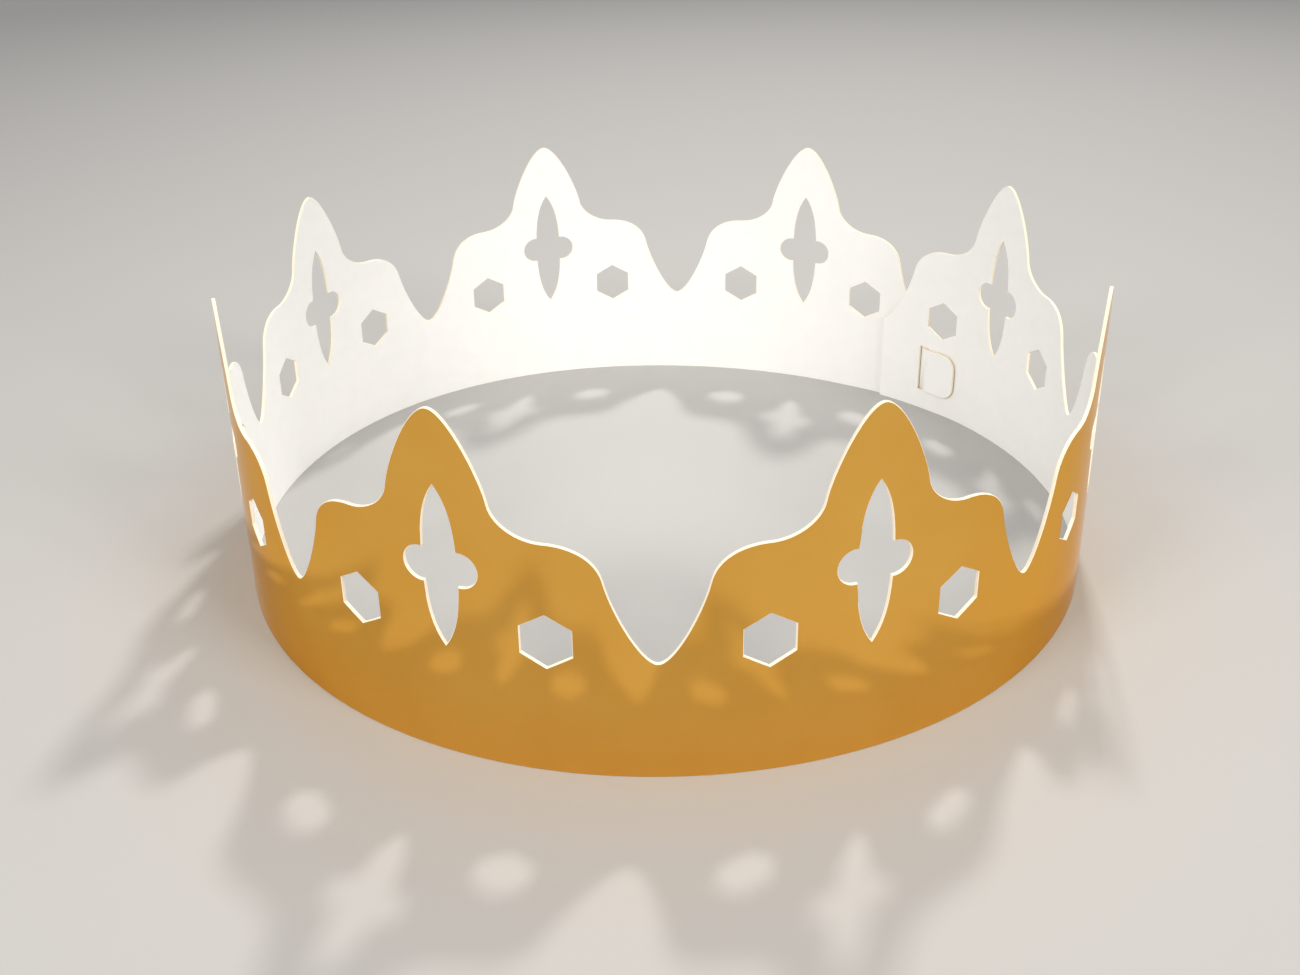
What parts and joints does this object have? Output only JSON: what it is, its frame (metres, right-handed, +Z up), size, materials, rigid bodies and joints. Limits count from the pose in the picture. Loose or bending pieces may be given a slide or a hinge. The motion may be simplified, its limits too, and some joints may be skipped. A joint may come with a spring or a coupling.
{
  "type": "paper crown",
  "caption": "Party crown cut from one strip of card with a gold mirror face, pierced under each point and closed into a ring by a tongue through a slit.",
  "frame": {"origin": "centre of the ring's bounding box, on the surface it stands on", "axes": "+Z up along the points, -Y to the front notch, +X to the right as the front is looked at"},
  "size_m": [0.1868, 0.1814, 0.0671],
  "materials": {
    "foil_card": "mirror gold foil outside, white card inside"
  },
  "bodies": {
    "root": {"crown_band": "foil_card"}
  },
  "joints": []
}
